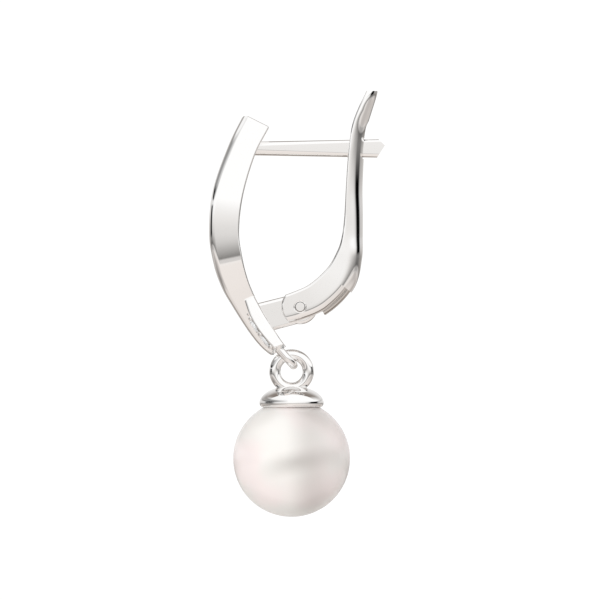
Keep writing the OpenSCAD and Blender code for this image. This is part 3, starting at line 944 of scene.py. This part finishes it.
class BuildLever(bpy.types.Operator):
    """Build the slotted lever with its spring and hinge pin."""

    bl_idname = "earring.build_lever"
    bl_label = "Lever, spring and pin"

    def execute(self, context):
        half = context.scene.earring_sizes.lever_width / 2
        lever = to_object("back_lever", self.blank(half))
        cut_away(lever, [
            block(*LEVER_TOP),
            self.outside_cheeks(half),
            drum(PIN, FORK_R, FORK_HALF),
            drum(PIN, HOLE_R, CUT_REACH),
            self.post_slot(),
            outside_corner(*LEVER_CORNER, 12),
            *[self.countersink(side, half) for side in (-1, 1)],
        ])
        finish_piece(lever, "back_lever", "lever", "white_metal", sharp=24)
        finish_piece(to_object("leaf_spring", self.leaf()), "back_lever", "spring", "spring_metal")
        finish_piece(to_object("hinge_rivet", self.rivet(half)), "front", "hinge_pin", "white_metal")
        return {"FINISHED"}

    def blank(self, half_width):
        """The lever before it is slotted and drilled."""
        sections = []
        places = [(len(LEVER) - 1) * k / 130 for k in range(131)]
        for u in sorted(places + [STEP_ROW - STEP_SHARP, STEP_ROW + STEP_SHARP]):
            s = spline(LEVER, u)
            t, half, power = s[2], s[3] * half_width, 2 / s[5]
            e = min(LEVER_EDGE, t - s[4] - LEVER_FLAT)
            back = t / 2
            if u > STEP_ROW:
                back = STEP_BACK - STEP_FALL * max(0.0, STEP_BACK_ROW - u)
                power = 2 / STEP_SQUARE
            side_top = t / 2 - s[4]
            rounded_back = [
                (
                    side_top + (back - side_top) * math.sin(a) ** power,
                    -half * math.copysign(abs(math.cos(a)) ** power, math.cos(a)),
                )
                for a in (math.pi * i / 64 for i in range(65))
            ]
            profile = (
                arc((-t / 2 + e, -half + e), e, 180, 270, 5)
                + rounded_back
                + arc((-t / 2 + e, half - e), e, 90, 180, 5)
            )
            sections.append(across_line(LEVER, u, -1, profile))
        return loft(sections)

    def outside_cheeks(self, side):
        """What lies outside the cheeks' round end, with the end's two edges rounded."""
        r = CHEEK_EDGE
        rim = [(CHEEK_R - r + p, q) for p, q in arc((0, side - r + CHEEK_CLEAR), r, 86, 0, 6)]
        profile = [(CUT_REACH, -CUT_HALF), (CUT_REACH, CUT_HALF), (rim[0][0], CUT_HALF)] + rim
        profile += [(p, -q) for p, q in reversed(rim)] + [(rim[0][0], -CUT_HALF)]
        bm = bmesh.new()
        verts = [bm.verts.new(PIN + Vector((0, y, radius))) for radius, y in profile]
        edges = [bm.edges.new(pair) for pair in zip(verts, verts[1:] + verts[:1])]
        bmesh.ops.spin(bm, geom=verts + edges, cent=PIN, axis=(0, 1, 0), angle=-math.pi, steps=48)
        bmesh.ops.holes_fill(bm, edges=bm.edges)
        return bm

    def post_slot(self):
        """The slot that the post passes through, for cutting."""
        bottom = [(SLOT_HALF, SLOT_BOTTOM), (-SLOT_HALF, SLOT_BOTTOM)]
        bm = plate(bottom + arc((0, SLOT_TOP - SLOT_HALF), SLOT_HALF, 180, 0, 24), CUT_REACH)
        turn_and_move(bm, math.pi / 2, "Z", (CUT_REACH, 0, 0))
        return bm

    def countersink(self, side, half_width):
        """The widened mouth of the pin's hole in one cheek, for cutting."""
        bm = bmesh.new()
        bmesh.ops.create_cone(
            bm, cap_ends=True, segments=48, radius1=HOLE_R, radius2=SINK_R, depth=SINK_DEPTH
        )
        bmesh.ops.translate(bm, verts=bm.verts, vec=(0, 0, half_width - SINK_DEPTH / 2 + SINK_CLEAR))
        turn_and_move(bm, -side * math.pi / 2, "X", PIN)
        return bm

    def leaf(self):
        """The leaf spring, bent round its arc."""
        half = [(SPRING_R - depth, y) for depth, y in SPRING_SECTION]
        profile = [(p, -q) for p, q in reversed(half)] + half
        sections = []
        for k in range(33):
            a = math.radians(SPRING_FROM + SPRING_SWEEP * k / 32)
            out = Vector((math.cos(a), 0, math.sin(a)))
            sections.append([SPRING_CENTRE + out * p + Vector((0, q, 0)) for p, q in profile])
        return loft(sections)

    def rivet(self, half_width):
        """The hinge pin, whose heads stand in narrow grooves that close further in."""
        end = half_width - RIVET_SUNK
        edge = arc((RIVET_R - RIVET_EDGE, RIVET_EDGE), RIVET_EDGE, 270, 360, 5)
        head = [(0, -end)] + [(p, q - end) for p, q in edge]
        head += [(RIVET_R, GROOVE_DEPTH - end), (RIVET_SHANK_R, RIVET_SHANK_DEPTH - end)]
        profile = head + [(r, -y) for r, y in reversed(head)]
        return spun([PIN + Vector((x, y, 0)) for x, y in profile], PIN, (0, 1, 0), 64)


class BuildCap(bpy.types.Operator):
    """Build the pearl's cap and its eye."""

    bl_idname = "earring.build_cap"
    bl_label = "Cap and eye"

    def execute(self, context):
        sizes = context.scene.earring_sizes
        widest = (CAP_BOX[1].x - CAP_BOX[0].x) / 2
        dome = arc((0, CAP_Z), (widest, CAP_RISE), 90, 0, 40)
        lip = arc((widest - CAP_LIP_WIDTH, CAP_Z), (CAP_LIP_WIDTH, CAP_LIP_DEPTH), 0, -90, 12)[1:]
        inner = PEARL_R + CAP_GAP
        rim = math.degrees(math.acos((widest - CAP_RIM) / inner))
        hollow = arc((0, PEARL_Z), inner, rim, 90, 12)
        profile = [Vector((DROP_X + r, 0, h)) for r, h in dome + lip + hollow]
        cap = spun(profile, (DROP_X, 0, 0), (0, 0, 1), 128)
        finish_piece(to_object("pearl_cap", cap), "drop", "cap", "white_metal")
        ring = arc((sizes.eye_radius, 0), sizes.eye_wire / 2, 0, 360, 40)
        eye = spun([Vector((DROP_X + r, y, EYE_Z)) for r, y in ring], (DROP_X, 0, EYE_Z), (0, 1, 0), 120)
        finish_piece(to_object("cap_eye", eye), "drop", "cap", "white_metal")
        return {"FINISHED"}


class BuildPearl(bpy.types.Operator):
    """Build the pearl."""

    bl_idname = "earring.build_pearl"
    bl_label = "Pearl"

    def execute(self, context):
        top = PEARL_Z + PEARL_R
        ball = arc((0, PEARL_Z), PEARL_R, math.degrees(math.acos(BORE_R / PEARL_R)), -90, 110)
        bore = [(0, top - BORE_DEPTH), (BORE_R, top - BORE_DEPTH), (BORE_R, top - BORE_TOP)]
        profile = [Vector((DROP_X + r, 0, h)) for r, h in bore + ball]
        pearl = spun(profile, (DROP_X, 0, 0), (0, 0, 1), 160)
        finish_piece(to_object("round_pearl", pearl), "drop", "pearl", "nacre")
        return {"FINISHED"}


class BuildStage(bpy.types.Operator):
    """Build the floor, the studio light and the camera."""

    bl_idname = "earring.build_stage"
    bl_label = "Stage"

    def execute(self, context):
        settings = context.scene.earring_stage
        floor = bmesh.new()
        bmesh.ops.create_circle(floor, cap_ends=True, segments=96, radius=FLOOR_R)
        bmesh.ops.translate(floor, verts=floor.verts, vec=(0, 0, settings.floor_height / MM))
        floor = to_object("studio_floor", floor)
        floor.data.materials.append(material_named("matt_white_card", white_card))
        floor.visible_glossy = False
        context.scene.world = self.white_tent()
        for name, diameter, power, place in LAMPS:
            lamp = bpy.data.lights.new(name, "AREA")
            lamp.shape = "DISK"
            lamp.size = diameter
            lamp.energy = power
            holder = put_in_scene(name, lamp)
            holder.location = place
            holder.visible_glossy = False
            holder.rotation_euler = (LAMP_AIM - holder.location).to_track_quat("-Z", "Y").to_euler()
        camera = bpy.data.cameras.new("studio_camera")
        camera.sensor_width = SENSOR_WIDTH
        camera.lens = SENSOR_WIDTH * settings.camera_distance / FRAME_WIDTH
        camera.clip_start, camera.clip_end = 0.01, 10
        holder = put_in_scene("studio_camera", camera)
        holder.location = (FRAME_X, -settings.camera_distance, FRAME_Z)
        holder.rotation_euler = (math.pi / 2, 0, 0)
        context.scene.camera = holder
        context.scene.view_settings.view_transform = "Standard"
        return {"FINISHED"}

    def white_tent(self):
        """The world: a white tent with narrow black cards left and right and a brownish room behind."""
        world = bpy.data.worlds.new("white_tent")
        world.use_nodes = True
        tree = world.node_tree
        tree.nodes.clear()
        way = add(tree, "ShaderNodeTexCoord").outputs["Generated"]
        axes = add(tree, "ShaderNodeSeparateXYZ", {"Vector": way})
        height = add(
            tree, "ShaderNodeMapRange",
            {"Value": axes.outputs["Z"], "From Min": -1.0, "From Max": 1.0, "To Min": 0.0, "To Max": 1.0},
        ).outputs["Result"]
        # How far to the side a direction points, as a share of its level length, which is never zero
        across = add(tree, "ShaderNodeMath", {0: axes.outputs["X"]}, operation="ABSOLUTE").outputs[0]
        level = add(tree, "ShaderNodeCombineXYZ", {0: axes.outputs["X"], 1: axes.outputs["Y"], 2: 0.02})
        level = add(tree, "ShaderNodeVectorMath", {0: level.outputs[0]}, operation="LENGTH")
        sideways = add(
            tree, "ShaderNodeMath", {0: across, 1: level.outputs["Value"]}, operation="DIVIDE"
        ).outputs[0]
        walls = by_sine([(sine, linear(tone)) for sine, tone in TENT_WALL])
        wall, narrow, wide, spread, left, right, behind = (
            add(tree, "ShaderNodeValToRGB", {"Fac": value}, stops=stops).outputs["Color"]
            for value, stops in (
                (height, walls), (sideways, greys(NARROW_CARD)), (sideways, greys(WIDE_CARD)),
                (height, greys(by_sine(CARDS_WIDE))), (height, greys(by_sine(LEFT_CARD))),
                (height, greys(by_sine(RIGHT_CARD))), (axes.outputs["Y"], greys(ROOM_SEEN)),
            )
        )
        # The cards' sides are sharper near the horizon
        card = add(tree, "ShaderNodeMix", {0: spread, 6: narrow, 7: wide}, data_type="RGBA").outputs[2]
        is_right = add(tree, "ShaderNodeMath", {0: axes.outputs["X"], 1: 0.0}, operation="GREATER_THAN")
        side = add(
            tree, "ShaderNodeMix", {0: is_right.outputs[0], 6: left, 7: right}, data_type="RGBA"
        ).outputs[2]
        cards = add(
            tree, "ShaderNodeMix", {0: card, 6: (1, 1, 1, 1), 7: side}, data_type="RGBA"
        ).outputs[2]
        tent = add(
            tree, "ShaderNodeMix", {0: 1.0, 6: wall, 7: cards}, data_type="RGBA", blend_type="MULTIPLY"
        ).outputs[2]
        # Behind the earring the tent is open on a brownish room, which draws the thin dark outlines
        opening = add(
            tree, "ShaderNodeMapRange",
            {"Value": across, "From Min": 0.6, "From Max": 0.92, "To Min": 1.0, "To Max": 0.0},
        ).outputs["Result"]
        room = add(tree, "ShaderNodeMath", {0: behind, 1: opening}, operation="MULTIPLY").outputs[0]
        around = add(
            tree, "ShaderNodeMix", {0: room, 6: tent, 7: linear("#7C726A")}, data_type="RGBA"
        ).outputs[2]
        # The camera sees plain white behind the earring
        seen = add(tree, "ShaderNodeLightPath").outputs["Is Camera Ray"]
        shown = add(
            tree, "ShaderNodeMix", {0: seen, 6: around, 7: linear("#FFFFFF")}, data_type="RGBA"
        ).outputs[2]
        light = add(tree, "ShaderNodeBackground", {"Color": shown, "Strength": 1.06})
        add(tree, "ShaderNodeOutputWorld", {"Surface": light.outputs["Background"]})
        return world


class EarringPanel(bpy.types.Panel):
    """Lists the earring's pieces, sizes and colours."""

    bl_idname = "VIEW3D_PT_earring"
    bl_label = "Earring"
    bl_space_type = "VIEW_3D"
    bl_region_type = "UI"
    bl_category = "Earring"

    def draw(self, context):
        column = self.layout.column(align=True)
        for operator in BUILD_ORDER:
            column.operator(operator.bl_idname)
        for name in SETTINGS:
            settings = getattr(context.scene, name)
            for key in settings.bl_rna.properties.keys():
                if key not in {"name", "rna_type"}:
                    column.prop(settings, key)


BUILD_ORDER = (
    BuildFront, BuildStoneLimb, BuildPost, BuildTongueAndLoop, BuildLever, BuildCap, BuildPearl, BuildStage,
)
SETTINGS = {
    "earring_sizes": EarringSizes, "earring_colours": EarringColours, "earring_stage": StageSettings,
}
CLASSES = (*SETTINGS.values(), *BUILD_ORDER, EarringPanel)


def register():
    """Registers the add-on's classes and its settings on the scene."""
    for cls in CLASSES:
        bpy.utils.register_class(cls)
    for name, group in SETTINGS.items():
        setattr(bpy.types.Scene, name, bpy.props.PointerProperty(type=group))


def unregister():
    """Takes the settings and classes away again."""
    for name in SETTINGS:
        delattr(bpy.types.Scene, name)
    for cls in reversed(CLASSES):
        bpy.utils.unregister_class(cls)


def main():
    """Builds every piece and the stage."""
    register()
    bpy.ops.earring.build_front()
    bpy.ops.earring.build_stone_limb()
    bpy.ops.earring.build_post()
    bpy.ops.earring.build_tongue_and_loop()
    bpy.ops.earring.build_lever()
    bpy.ops.earring.build_cap()
    bpy.ops.earring.build_pearl()
    bpy.ops.earring.build_stage()


if __name__ == "__main__":
    main()
